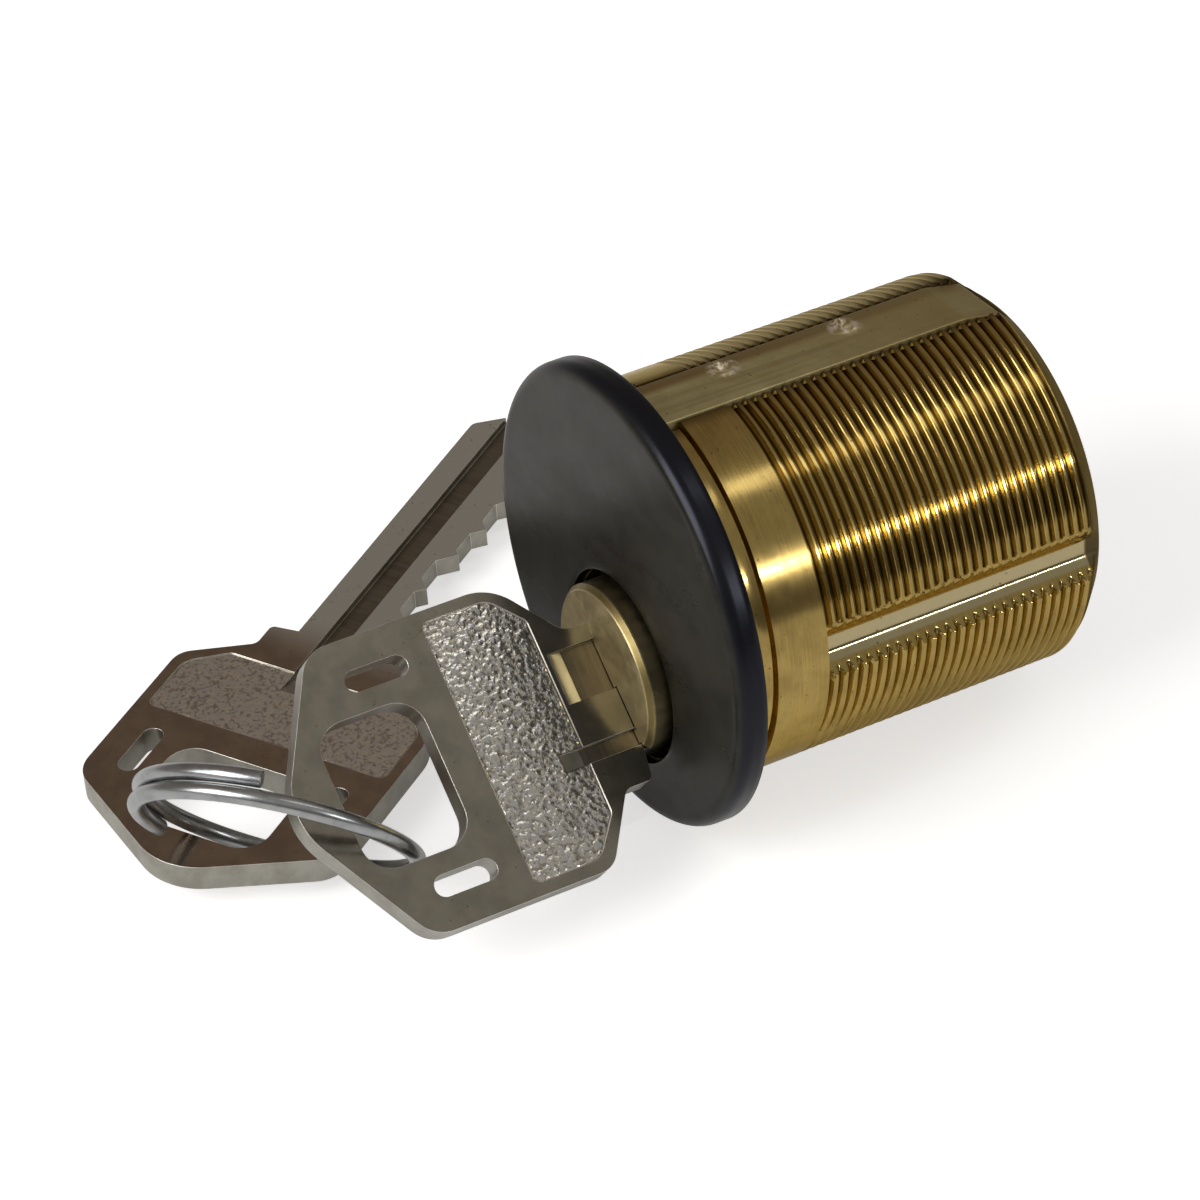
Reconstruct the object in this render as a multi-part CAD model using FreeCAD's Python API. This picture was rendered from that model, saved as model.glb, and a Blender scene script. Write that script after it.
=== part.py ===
import FreeCAD
import Part
import math
import os

from FreeCAD import Vector

# Mortise cylinder with two keys on a wire ring. All sizes in millimetres.
# Frame: origin on the cylinder's axis at the back face of its head,
# +Y towards the rear (into the lock), -Y out of the face, +Z up through
# the row of pin chambers.

# Shell
CREST_R = 14.605          # thread major radius, 1.150 inch across
THREAD_PITCH = 0.79375    # 32 threads to the inch
THREAD_DEPTH = 0.487
THREAD_ROOT_FLAT = 0.10
THREAD_Y0 = 6.85
THREAD_Y1 = 28.75
THREAD_START = 117.0      # where round the shank the groove begins
REAR_Y = 29.60
REAR_CHAMFER = 1.60
RELIEF_R = 14.00          # groove between head and shank
RELIEF_Y = 2.25
FLANGE_R = 16.30
FLANGE_FRONT_Y = -1.35
FLANGE_CHAMFER = 0.40

# Spun cap over the head
CAP_WALL = 0.75
CAP_GAP = 0.07
CAP_R = FLANGE_R + CAP_GAP + CAP_WALL
CAP_SEAT_GAP = 0.02
CAP_FRONT_Y = FLANGE_FRONT_Y - CAP_SEAT_GAP - CAP_WALL + 0.01
CAP_RIM_R = 1.05
CAP_HOLE_R = 7.20
CAP_HOLE_EDGE = 0.18
CAP_BACK_Y = -0.03

# Plug and its bore
PLUG_Z = -5.70
PLUG_R = 6.35
PLUG_FIT = 0.05
NOSE_R = 6.50
NOSE_FRONT_Y = -3.50
NOSE_BEVEL = 0.38
COLLAR_R = 7.00
COLLAR_FRONT_Y = -0.30
COLLAR_T = 1.15
COLLAR_FIT = 0.10
COLLAR_END_GAP = 0.05
PLUG_REAR_Y = REAR_Y + 0.12
TURN = 47.0               # the plug and its key are turned by this much

# Pin chambers
PIN_COUNT = 5
PIN_FIRST_Y = 2.77
PIN_STEP = 3.81
PIN_R = 1.46
CHAMBER_R = 1.525
DRIVER_LEN = 4.60
DRIVER_EDGE = 0.18
SHEAR_GAP = 0.02
PIN_DEEP = 1.10             # how far past the plug's axis the pin holes go
SPRING_MEAN_R = 1.10
SPRING_WIRE_R = 0.16
SPRING_TURNS = 9.0
SPRING_WIRE_SIDES = 16

# Chamber cover strip
COVER_HALF = 2.70
COVER_SIDE_GAP = 0.02
COVER_T = 0.90
COVER_TOP_Z = math.sqrt(CREST_R ** 2 - COVER_HALF ** 2)
COVER_UNDER_Z = COVER_TOP_Z - COVER_T
COVER_SEAT_GAP = 0.02
COVER_FRONT_Y = 0.03
COVER_FLAT_Y = 25.60
COVER_REAR_Y = 28.55
COVER_REAR_Z = COVER_TOP_Z - 0.62
STAKES = ((-1.30, 8.30), (-1.30, 18.10))
STAKE_R = 0.95
STAKE_H = 0.13

# Set-screw grooves, left and right
GROOVE_TOP_HALF = 2.05
GROOVE_BED_HALF = 0.60
GROOVE_BED_X = 13.30
GROOVE_Y0 = 6.45

# Key
KEY_T = 2.10
KEY_SPINE = 6.27
KEY_EDGE = -2.15
KEY_LEN = 29.0
KEY_FIT = 0.12
KEY_SEAT_GAP = 0.02
CUT_FIRST = 6.27
CUT_HALF = 1.065
CUT_ROOTS = (0.57, 0.85, 0.0, -0.15, -0.70)
RECESS_V = (-2.40, 1.50)
RECESS_W = 0.50
RECESS_X = 3.80
GROOVE_A_V = (4.60, 5.85)
GROOVE_A_W = 0.60
GROOVE_A_X = 6.40
GROOVE_B_V = (2.30, 4.20)
GROOVE_B_W = 0.50
GROOVE_B_X = 6.70
PANEL_DEPTH = 0.10
RING_HOLE = (14.0, 22.0, -3.0, 7.9, 2.2)
SLOT_UP = (13.5, 18.3, 9.4, 11.0, 0.79)
SLOT_DOWN = (13.5, 18.3, -6.1, -4.5, 0.79)

# Cam and its screws
CAM_T = 2.00
CAM_GAP = 0.02
CAM_DISC_R = PLUG_R
CAM_LOBE_HALF = 3.40
CAM_LOBE_LEN = 13.2
SCREW_OFF = 4.05
SCREW_R = 1.05
SCREW_FIT = 0.02
SCREW_DEEP = 4.60
SCREW_HEAD_R = 1.90
SCREW_HEAD_T = 1.20
SCREW_SLOT = 0.50

# Spare key's place: it lies beside the cylinder, tail lifted by the ring
SPARE_O = (-21.085, -11.693, -13.414)
SPARE_X = (0.5278, -0.8414, -0.1160)
SPARE_V = (-0.8408, -0.5369, 0.0691)

# Key ring: about one and a third turns of wire
RING_R = 9.914
RING_WIRE_R = 0.625
RING_PITCH = 1.33
RING_HALF_SPAN = 238.0
RING_MID = 86.9
RING_C = (-2.739, -28.246, -10.439)
RING_E1 = (-0.8072, -0.0663, -0.5865)
RING_E2 = (0.3017, 0.8077, -0.5065)


def revolve(profile, cz=0.0):
    pts = [Vector(r, y, cz) for r, y in profile]
    face = Part.Face(Part.makePolygon(pts + [pts[0]]))
    return face.revolve(Vector(0, 0, cz), Vector(0, 1, 0), 360)


def rod(radius, length, base, direction):
    return Part.makeCylinder(radius, length, base, direction)


def rounded_wire(corners, to3d):
    """Closed outline from (a, b, radius) corners, each corner rounded."""
    n = len(corners)
    starts, ends, mids = [], [], []
    for i in range(n):
        a0, b0, _ = corners[i - 1]
        a1, b1, r = corners[i]
        a2, b2, _ = corners[(i + 1) % n]
        u = ((a0 - a1), (b0 - b1))
        w = ((a2 - a1), (b2 - b1))
        lu, lw = math.hypot(*u), math.hypot(*w)
        u = (u[0] / lu, u[1] / lu)
        w = (w[0] / lw, w[1] / lw)
        if r <= 0:
            starts.append((a1, b1))
            ends.append((a1, b1))
            mids.append(None)
            continue
        half = math.acos(max(-1.0, min(1.0, u[0] * w[0] + u[1] * w[1]))) / 2
        t = r / math.tan(half)
        bis = (u[0] + w[0], u[1] + w[1])
        lb = math.hypot(*bis)
        bis = (bis[0] / lb, bis[1] / lb)
        reach = r / math.sin(half) - r
        starts.append((a1 + u[0] * t, b1 + u[1] * t))
        ends.append((a1 + w[0] * t, b1 + w[1] * t))
        mids.append((a1 + bis[0] * reach, b1 + bis[1] * reach))
    edges = []
    for i in range(n):
        p, q = ends[i - 1], starts[i]
        if math.hypot(p[0] - q[0], p[1] - q[1]) > 1e-6:
            edges.append(Part.makeLine(to3d(*p), to3d(*q)))
        if mids[i] is not None:
            arc = Part.Arc(to3d(*starts[i]), to3d(*mids[i]), to3d(*ends[i]))
            edges.append(arc.toShape())
    return Part.Wire(edges)


def slab(corners, w0, w1):
    """Prism of a rounded outline in the key's x, v plane."""
    wire = rounded_wire(corners, lambda a, b: Vector(a, b, w0))
    return Part.Face(wire).extrude(Vector(0, 0, w1 - w0))


def window(spec):
    x0, x1, v0, v1, r = spec
    corners = [(x0, v0, r), (x1, v0, r), (x1, v1, r), (x0, v1, r)]
    return slab(corners, -KEY_T, KEY_T)


def ramp_cut(v0, v1, floor_w, x_end, run, side):
    """Milled groove from beyond the tip, ending in a ramp on the bow."""
    face_w = KEY_T / 2
    top = face_w + 0.5
    slope = (face_w - floor_w) / run
    pts = [(-KEY_LEN - 2, floor_w), (x_end - run, floor_w),
           (x_end + 0.5 / slope, top), (-KEY_LEN - 2, top)]
    poly = [Vector(x, v0, w * side) for x, w in pts]
    face = Part.Face(Part.makePolygon(poly + [poly[0]]))
    return face.extrude(Vector(0, v1 - v0, 0))


def place(shape, origin, xdir, vdir):
    x = Vector(*xdir).normalize()
    v = Vector(*vdir).normalize()
    w = x.cross(v).normalize()
    v = w.cross(x)
    rot = FreeCAD.Rotation(x, v, w, "ZXY")
    out = shape.copy()
    out.Placement = FreeCAD.Placement(Vector(*origin), rot)
    return out


def baked(shape):
    """The same solid with its placement worked into its geometry."""
    m = shape.Placement.toMatrix()
    out = shape.copy()
    out.Placement = FreeCAD.Placement()
    out.transformShape(m, True)
    return out


def coil(radius, wire_r, pitch, turns, start_deg=0.0, sides=0):
    """Wire wound right-handed round +Z, from z = 0. It is round, or a
    polygon of that many sides with the round wire's area."""
    helix = Part.makeHelix(pitch, pitch * turns, radius)
    tangent = Vector(0, radius, pitch / (2 * math.pi)).normalize()
    if sides:
        step = 2 * math.pi / sides
        r = wire_r * math.sqrt(step / math.sin(step))
        a, b = Vector(1, 0, 0), tangent.cross(Vector(1, 0, 0))
        pts = [Vector(radius, 0, 0) + a * (r * math.cos(step * k))
               + b * (r * math.sin(step * k)) for k in range(sides)]
        profile = Part.makePolygon(pts + [pts[0]])
    else:
        circle = Part.Circle(Vector(radius, 0, 0), tangent, wire_r)
        profile = Part.Wire([circle.toShape()])
    body = Part.Wire(helix).makePipeShell([profile], True, True)
    body.rotate(Vector(0, 0, 0), Vector(0, 0, 1), start_deg)
    return body


def pin_y(i):
    return PIN_FIRST_Y + PIN_STEP * i


# Directions of the turned plug: v runs to the key's spine, w to its face A
ROT = math.radians(TURN)
SPINE_DIR = Vector(math.sin(ROT), 0, -math.cos(ROT))
FACE_DIR = Vector(math.cos(ROT), 0, math.sin(ROT))
PLUG_AXIS = Vector(0, 0, PLUG_Z)


def in_plug(v, w, y):
    return PLUG_AXIS + SPINE_DIR * v + FACE_DIR * w + Vector(0, y, 0)


def thread_tool():
    half_root = THREAD_ROOT_FLAT / 2
    out = 0.05
    rise = math.tan(math.radians(30))
    root_r = CREST_R - THREAD_DEPTH
    top_half = half_root + (THREAD_DEPTH + out) * rise
    length = THREAD_Y1 - THREAD_Y0
    helix = Part.makeHelix(THREAD_PITCH, length, CREST_R)
    pts = [Vector(root_r, 0, -half_root), Vector(CREST_R + out, 0, -top_half),
           Vector(CREST_R + out, 0, top_half), Vector(root_r, 0, half_root)]
    wire = Part.makePolygon(pts + [pts[0]])
    tool = Part.Wire(helix).makePipeShell([wire], True, True)
    tool.rotate(Vector(0, 0, 0), Vector(1, 0, 0), -90)
    tool.rotate(Vector(0, 0, 0), Vector(0, 1, 0), THREAD_START)
    tool.translate(Vector(0, THREAD_Y0, 0))
    return tool


def make_body():
    axis = Vector(0, 1, 0)
    shank = rod(CREST_R, REAR_Y - RELIEF_Y, Vector(0, RELIEF_Y, 0), axis)
    shank = shank.cut(thread_tool())
    chamfer_y = REAR_Y - REAR_CHAMFER
    outer = rod(CREST_R + 3, REAR_CHAMFER + 1, Vector(0, chamfer_y, 0), axis)
    cone = Part.makeCone(CREST_R, CREST_R - REAR_CHAMFER - 1,
                         REAR_CHAMFER + 1, Vector(0, chamfer_y, 0), axis)
    shank = shank.cut(outer.cut(cone))
    head = revolve([
        (0, FLANGE_FRONT_Y),
        (FLANGE_R - FLANGE_CHAMFER, FLANGE_FRONT_Y),
        (FLANGE_R, FLANGE_FRONT_Y + FLANGE_CHAMFER),
        (FLANGE_R, 0),
        (RELIEF_R, 0),
        (RELIEF_R, RELIEF_Y),
        (0, RELIEF_Y),
    ])
    body = shank.fuse(head)
    bore = rod(PLUG_R + PLUG_FIT, REAR_Y + 4, Vector(0, -3, PLUG_Z),
               Vector(0, 1, 0))
    sink_end = COLLAR_FRONT_Y + COLLAR_T + COLLAR_END_GAP
    sink = rod(COLLAR_R + COLLAR_FIT, sink_end + 3, Vector(0, -3, PLUG_Z),
               Vector(0, 1, 0))
    body = body.cut(bore).cut(sink)
    floor_z = COVER_UNDER_Z - COVER_SEAT_GAP
    half = COVER_HALF + COVER_SIDE_GAP
    channel = Part.makeBox(2 * half, REAR_Y + 2, 4,
                           Vector(-half, 0, floor_z))
    body = body.cut(channel)
    for i in range(PIN_COUNT):
        body = body.cut(rod(CHAMBER_R, 16, Vector(0, pin_y(i), 0),
                            Vector(0, 0, 1)))
    far_x = CREST_R + 0.8
    edge_x = math.sqrt(CREST_R ** 2 - GROOVE_TOP_HALF ** 2)
    slope = (GROOVE_TOP_HALF - GROOVE_BED_HALF) / (edge_x - GROOVE_BED_X)
    far_half = GROOVE_BED_HALF + (far_x - GROOVE_BED_X) * slope
    for side in (1, -1):
        pts = [Vector(side * GROOVE_BED_X, GROOVE_Y0, -GROOVE_BED_HALF),
               Vector(side * far_x, GROOVE_Y0, -far_half),
               Vector(side * far_x, GROOVE_Y0, far_half),
               Vector(side * GROOVE_BED_X, GROOVE_Y0, GROOVE_BED_HALF)]
        face = Part.Face(Part.makePolygon(pts + [pts[0]]))
        body = body.cut(face.extrude(Vector(0, REAR_Y, 0)))
    return body


def make_cap():
    inner_r = FLANGE_R + CAP_GAP
    seat_y = FLANGE_FRONT_Y - CAP_SEAT_GAP
    c = 0.25
    arc_c = (CAP_R - CAP_RIM_R, CAP_FRONT_Y + CAP_RIM_R)
    s = math.sqrt(0.5)
    hole_c = (CAP_HOLE_R + CAP_HOLE_EDGE, CAP_FRONT_Y + CAP_HOLE_EDGE)

    def p(r, y):
        return Vector(r, y, 0)

    edges = [
        Part.makeLine(p(CAP_R, CAP_BACK_Y), p(CAP_R, arc_c[1])),
        Part.Arc(p(CAP_R, arc_c[1]),
                 p(arc_c[0] + CAP_RIM_R * s, arc_c[1] - CAP_RIM_R * s),
                 p(arc_c[0], CAP_FRONT_Y)).toShape(),
        Part.makeLine(p(arc_c[0], CAP_FRONT_Y), p(hole_c[0], CAP_FRONT_Y)),
        Part.makeLine(p(hole_c[0], CAP_FRONT_Y), p(0.5, CAP_FRONT_Y)),
        Part.makeLine(p(0.5, CAP_FRONT_Y), p(0.5, seat_y)),
        Part.makeLine(p(0.5, seat_y), p(inner_r - c, seat_y)),
        Part.makeLine(p(inner_r - c, seat_y), p(inner_r, seat_y + c)),
        Part.makeLine(p(inner_r, seat_y + c), p(inner_r, CAP_BACK_Y)),
        Part.makeLine(p(inner_r, CAP_BACK_Y), p(CAP_R, CAP_BACK_Y)),
    ]
    face = Part.Face(Part.Wire(edges))
    cap = face.revolve(Vector(0, 0, 0), Vector(0, 1, 0), 360)
    hole = rod(CAP_HOLE_R, 4, Vector(0, -4, PLUG_Z), Vector(0, 1, 0))
    flare = Part.makeCone(CAP_HOLE_R + CAP_HOLE_EDGE + 0.5, CAP_HOLE_R,
                          CAP_HOLE_EDGE + 0.5,
                          Vector(0, CAP_FRONT_Y - 0.5, PLUG_Z),
                          Vector(0, 1, 0))
    core = rod(1.0, 4, Vector(0, -4, 0), Vector(0, 1, 0))
    return cap.cut(core).cut(hole).cut(flare)


def make_cover():
    pts = [(COVER_FRONT_Y, COVER_UNDER_Z), (COVER_REAR_Y, COVER_UNDER_Z),
           (COVER_REAR_Y, COVER_REAR_Z), (COVER_FLAT_Y, COVER_TOP_Z),
           (COVER_FRONT_Y, COVER_TOP_Z)]
    poly = [Vector(-COVER_HALF, y, z) for y, z in pts]
    face = Part.Face(Part.makePolygon(poly + [poly[0]]))
    strip = face.extrude(Vector(2 * COVER_HALF, 0, 0))
    for x, y in STAKES:
        bump = Part.makeCone(STAKE_R, STAKE_R * 0.62, STAKE_H + 0.1,
                             Vector(x, y, COVER_TOP_Z - 0.1),
                             Vector(0, 0, 1))
        dent = Part.makeCone(0.02, STAKE_R * 0.42, 0.34,
                             Vector(x, y, COVER_TOP_Z + STAKE_H - 0.30),
                             Vector(0, 0, 1))
        strip = strip.fuse(bump).cut(dent)
    return strip.removeSplitter()


def section(c):
    """Blade section grown by c: corners as (v, w)."""
    h = KEY_T / 2
    spine = KEY_SPINE if c == 0 else COLLAR_R + 1.5
    return [
        (KEY_EDGE - c, RECESS_W + c),
        (RECESS_V[1] - c, RECESS_W + c),
        (RECESS_V[1] - c, h + c),
        (GROOVE_A_V[0] + c, h + c),
        (GROOVE_A_V[0] + c, GROOVE_A_W + c),
        (GROOVE_A_V[1] - c, GROOVE_A_W + c),
        (GROOVE_A_V[1] - c, h + c),
        (spine, h + c),
        (spine, -h - c),
        (GROOVE_B_V[1] - c, -h - c),
        (GROOVE_B_V[1] - c, -GROOVE_B_W - c),
        (GROOVE_B_V[0] + c, -GROOVE_B_W - c),
        (GROOVE_B_V[0] + c, -h - c),
        (KEY_EDGE - c, -h - c),
    ]


def make_plug():
    profile = [
        (0, NOSE_FRONT_Y),
        (NOSE_R - NOSE_BEVEL, NOSE_FRONT_Y),
        (NOSE_R, NOSE_FRONT_Y + NOSE_BEVEL),
        (NOSE_R, COLLAR_FRONT_Y),
        (COLLAR_R, COLLAR_FRONT_Y),
        (COLLAR_R, COLLAR_FRONT_Y + COLLAR_T),
        (PLUG_R, COLLAR_FRONT_Y + COLLAR_T),
        (PLUG_R, PLUG_REAR_Y),
        (0, PLUG_REAR_Y),
    ]
    plug = revolve(profile, PLUG_Z)
    pts = [in_plug(v, w, NOSE_FRONT_Y - 1) for v, w in section(KEY_FIT)]
    way = Part.Face(Part.makePolygon(pts + [pts[0]]))
    plug = plug.cut(way.extrude(Vector(0, PLUG_REAR_Y + 6, 0)))
    for i in range(PIN_COUNT):
        base = in_plug(-PLUG_R - 1.5, 0, pin_y(i))
        plug = plug.cut(rod(CHAMBER_R, PLUG_R + 1.5 + PIN_DEEP,
                            base, SPINE_DIR))
    for side in (1, -1):
        base = in_plug(0, side * SCREW_OFF, PLUG_REAR_Y - SCREW_DEEP - 0.3)
        plug = plug.cut(rod(SCREW_R + SCREW_FIT, SCREW_DEEP + 1, base,
                            Vector(0, 1, 0)))
    return plug


def make_key_pin(i):
    root = CUT_ROOTS[i] - SHEAR_GAP
    tip_r = 0.60
    cone_h = PIN_R - tip_r
    length = PLUG_R + 0.6 + root
    tip = in_plug(root, 0, pin_y(i))
    back = SPINE_DIR * -1
    cone = Part.makeCone(tip_r, PIN_R, cone_h, tip, back)
    shank = rod(PIN_R, length - cone_h, tip + back * cone_h, back)
    pin = cone.fuse(shank).removeSplitter()
    envelope = rod(PLUG_R - SHEAR_GAP, 60, Vector(0, -10, PLUG_Z),
                   Vector(0, 1, 0))
    return pin.common(envelope)


def make_driver(i):
    z0 = PLUG_Z + PLUG_R + SHEAR_GAP
    y = pin_y(i)
    foot = Part.makeCone(PIN_R - DRIVER_EDGE, PIN_R, DRIVER_EDGE,
                         Vector(0, y, z0), Vector(0, 0, 1))
    mid = rod(PIN_R, DRIVER_LEN - 2 * DRIVER_EDGE,
              Vector(0, y, z0 + DRIVER_EDGE), Vector(0, 0, 1))
    top = Part.makeCone(PIN_R, PIN_R - DRIVER_EDGE, DRIVER_EDGE,
                        Vector(0, y, z0 + DRIVER_LEN - DRIVER_EDGE),
                        Vector(0, 0, 1))
    return foot.fuse(mid).fuse(top).removeSplitter()


def make_spring(i):
    low = PLUG_Z + PLUG_R + SHEAR_GAP + DRIVER_LEN
    high = COVER_UNDER_Z
    z0 = low + SPRING_WIRE_R + 0.01
    rise = high - 0.01 - SPRING_WIRE_R - z0
    body = coil(SPRING_MEAN_R, SPRING_WIRE_R, rise / SPRING_TURNS,
                SPRING_TURNS, 80.0, SPRING_WIRE_SIDES)
    body.translate(Vector(0, pin_y(i), z0))
    return body


def make_key():
    tip_v = 3.44
    shape = [
        (0.0, KEY_EDGE, 0.0),
        (0.0, -3.65, 0.25),
        (1.9, -3.65, 1.4),
        (5.7, -8.4, 4.0),
        (20.05, -8.4, 2.6),
        (26.1, 2.23, 5.5),
        (19.62, 13.3, 2.6),
        (5.64, 13.3, 1.8),
        (2.45, 8.45, 0.8),
        (0.30, 8.45, 0.45),
        (0.0, KEY_SPINE, 0.0),
        (-26.7, KEY_SPINE, 0.8),
        (-KEY_LEN, tip_v, 0.25),
        (-KEY_LEN, 2.30, 0.4),
    ]
    last = CUT_FIRST + PIN_STEP * (PIN_COUNT - 1)
    end = last + CUT_HALF + (CUT_ROOTS[-1] - KEY_EDGE)
    shape.append((-end - 0.12, KEY_EDGE, 0.0))
    cuts = []
    for i, root in enumerate(CUT_ROOTS):
        at = CUT_FIRST + PIN_STEP * i
        if i == 0:
            cuts.append((-(at - CUT_HALF - (root - KEY_EDGE)), KEY_EDGE, 0.0))
        else:
            before = CUT_ROOTS[i - 1]
            gap = PIN_STEP - 2 * CUT_HALF
            run = (before - root + gap) / 2
            cuts.append((-(at - PIN_STEP + CUT_HALF + run),
                         before - run, 0.0))
        cuts.append((-(at - CUT_HALF), root, 0.0))
        cuts.append((-(at + CUT_HALF), root, 0.0))
    cuts.append((-end, KEY_EDGE, 0.0))
    shape += reversed(cuts)
    blank = slab(shape, -KEY_T / 2, KEY_T / 2)
    blank = blank.cut(ramp_cut(RECESS_V[0], RECESS_V[1], RECESS_W,
                               RECESS_X, 1.2, 1))
    blank = blank.cut(ramp_cut(GROOVE_A_V[0], GROOVE_A_V[1], GROOVE_A_W,
                               GROOVE_A_X, 2.0, 1))
    blank = blank.cut(ramp_cut(GROOVE_B_V[0], GROOVE_B_V[1], GROOVE_B_W,
                               GROOVE_B_X, 3.2, -1))
    for spec in (RING_HOLE, SLOT_UP, SLOT_DOWN):
        blank = blank.cut(window(spec))
    panel = [(4.1, -5.2, 0.8), (6.3, -7.55, 1.8), (11.5, -7.55, 0.6),
             (11.5, 12.4, 0.6), (6.3, 12.4, 1.8), (4.1, 9.6, 0.8)]
    blank = blank.cut(slab(panel, KEY_T / 2 - PANEL_DEPTH, KEY_T))
    blank = blank.cut(slab(panel, -KEY_T, -KEY_T / 2 + PANEL_DEPTH))
    return blank


def make_cam():
    y0 = PLUG_REAR_Y + CAM_GAP
    disc = rod(CAM_DISC_R, CAM_T, in_plug(0, 0, y0), Vector(0, 1, 0))
    reach = CAM_LOBE_LEN - CAM_LOBE_HALF
    pts = [in_plug(0, CAM_LOBE_HALF + 1.2, y0),
           in_plug(-reach, CAM_LOBE_HALF, y0),
           in_plug(-reach, -CAM_LOBE_HALF, y0),
           in_plug(0, -CAM_LOBE_HALF - 1.2, y0)]
    arm = Part.Face(Part.makePolygon(pts + [pts[0]])).extrude(
        Vector(0, CAM_T, 0))
    nose = rod(CAM_LOBE_HALF, CAM_T, in_plug(-reach, 0, y0), Vector(0, 1, 0))
    cam = disc.fuse(arm).fuse(nose).removeSplitter()
    for side in (1, -1):
        cam = cam.cut(rod(SCREW_R + 0.12, CAM_T + 2,
                          in_plug(0, side * SCREW_OFF, y0 - 1),
                          Vector(0, 1, 0)))
    return cam


def make_cam_screw(side):
    seat = PLUG_REAR_Y + CAM_GAP + CAM_T + CAM_GAP
    low = PLUG_REAR_Y - SCREW_DEEP
    shank = rod(SCREW_R, seat - low + 0.2, in_plug(0, side * SCREW_OFF, low),
                Vector(0, 1, 0))
    head = rod(SCREW_HEAD_R, SCREW_HEAD_T,
               in_plug(0, side * SCREW_OFF, seat), Vector(0, 1, 0))
    screw = head.fuse(shank).removeSplitter()
    a, b = SCREW_SLOT / 2, SCREW_HEAD_R + 1
    pts = [in_plug(-b, side * SCREW_OFF - a, seat + SCREW_HEAD_T - 0.5),
           in_plug(b, side * SCREW_OFF - a, seat + SCREW_HEAD_T - 0.5),
           in_plug(b, side * SCREW_OFF + a, seat + SCREW_HEAD_T - 0.5),
           in_plug(-b, side * SCREW_OFF + a, seat + SCREW_HEAD_T - 0.5)]
    slot = Part.Face(Part.makePolygon(pts + [pts[0]])).extrude(
        Vector(0, 2, 0))
    return screw.cut(slot)


def make_ring():
    turns = 2 * RING_HALF_SPAN / 360.0
    body = coil(RING_R, RING_WIRE_R, RING_PITCH, turns,
                RING_MID - RING_HALF_SPAN)
    body.translate(Vector(0, 0, -RING_PITCH * turns / 2))
    return place(baked(body), RING_C, RING_E1, RING_E2)


parts = {}
parts["cylinder_body"] = make_body()
parts["head_cap"] = make_cap()
parts["chamber_cover"] = make_cover()
parts["plug"] = make_plug()
for n in range(PIN_COUNT):
    parts["key_pin_%d" % (n + 1)] = make_key_pin(n)
    parts["driver_pin_%d" % (n + 1)] = make_driver(n)
    parts["driver_spring_%d" % (n + 1)] = make_spring(n)
parts["cam"] = make_cam()
parts["cam_screw_1"] = make_cam_screw(1)
parts["cam_screw_2"] = make_cam_screw(-1)
key_shape = make_key()
parts["key"] = place(key_shape,
                     (0, NOSE_FRONT_Y - KEY_SEAT_GAP, PLUG_Z),
                     (0, -1, 0), tuple(SPINE_DIR))
parts["spare_key"] = place(key_shape, SPARE_O, SPARE_X, SPARE_V)
parts["key_ring"] = make_ring()

os.makedirs("parts", exist_ok=True)
for name, shape in parts.items():
    solids = shape.Solids
    ok = shape.isValid() and len(solids) == 1
    out = baked(solids[0] if len(solids) == 1 else shape)
    print(name, "solids", len(solids), "valid", shape.isValid(),
          "volume", round(shape.Volume, 2), "ok" if ok else "LOOK")
    out.exportStep("parts/%s.step" % name)
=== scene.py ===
import bmesh
import bpy
import math
import numpy as np
from mathutils import Matrix, Vector
from mathutils.geometry import delaunay_2d_cdt


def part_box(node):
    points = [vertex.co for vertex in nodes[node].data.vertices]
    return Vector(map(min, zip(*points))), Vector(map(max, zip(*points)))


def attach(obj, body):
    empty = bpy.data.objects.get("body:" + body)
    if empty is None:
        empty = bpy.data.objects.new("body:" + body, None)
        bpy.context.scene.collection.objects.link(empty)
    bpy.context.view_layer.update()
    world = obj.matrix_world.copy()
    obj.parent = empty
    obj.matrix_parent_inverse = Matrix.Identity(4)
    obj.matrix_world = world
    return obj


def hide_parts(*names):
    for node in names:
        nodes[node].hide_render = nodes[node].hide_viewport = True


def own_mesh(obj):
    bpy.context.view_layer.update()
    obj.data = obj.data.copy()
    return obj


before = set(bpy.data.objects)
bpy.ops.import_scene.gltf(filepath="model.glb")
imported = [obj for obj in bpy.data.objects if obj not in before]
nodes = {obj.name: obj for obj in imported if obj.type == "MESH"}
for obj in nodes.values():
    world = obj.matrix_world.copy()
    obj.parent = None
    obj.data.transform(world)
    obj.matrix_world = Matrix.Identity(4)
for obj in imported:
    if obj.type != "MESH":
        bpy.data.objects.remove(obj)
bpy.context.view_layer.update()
rng = np.random.default_rng(7)

# The shell is turned from brass bar: a flange for the head, a relief groove,
# a shank with a fine thread cut on the lathe, a milled channel for the chamber
# cover and a milled groove on each side for the set screw.

# Sizes are in mm, angles round the axis in degrees. A profile's row is its y, its
# radius and the height of its centre.
BREAK = 0.04
BORE_Z = -5.7
BORE_R = 6.40
SEAT_R = 7.10
SEAT_Y = 0.90
FACE_Y = -1.35
FLANGE_R = 16.30
FLANGE_CHAMFER = 0.40
RELIEF_R = 14.0
RELIEF_END = 2.25
CREST = 14.605
ROOT = CREST - 0.427
PITCH = 0.79375
FIRST_ROOT = 6.62
THREAD_END = 28.9
THREAD_TURNS = 28
SHANK_END = 29.6
CHAMFER_Y = 28.0
REAR_R = 13.0
GROOVE_FRONT = 6.45
GROOVE_BED = 13.3
GROOVE_BED_HALF = 0.34
GROOVE_EASE = 0.52
GROOVE_SLOPE = 0.8
GROOVE_EDGE = 8.3
GROOVE_REACH = 9.9
CHANNEL_Z = 13.433
CHANNEL_EDGE = 78.5
SWELL = 0.006
BURR = 0.05
BURR_WIDTH = 0.35
CHAMBER_R = 1.525
CHAMBER_LOW = BORE_Z + 5.0
CHAMBER_HIGH = 13.9
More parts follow.
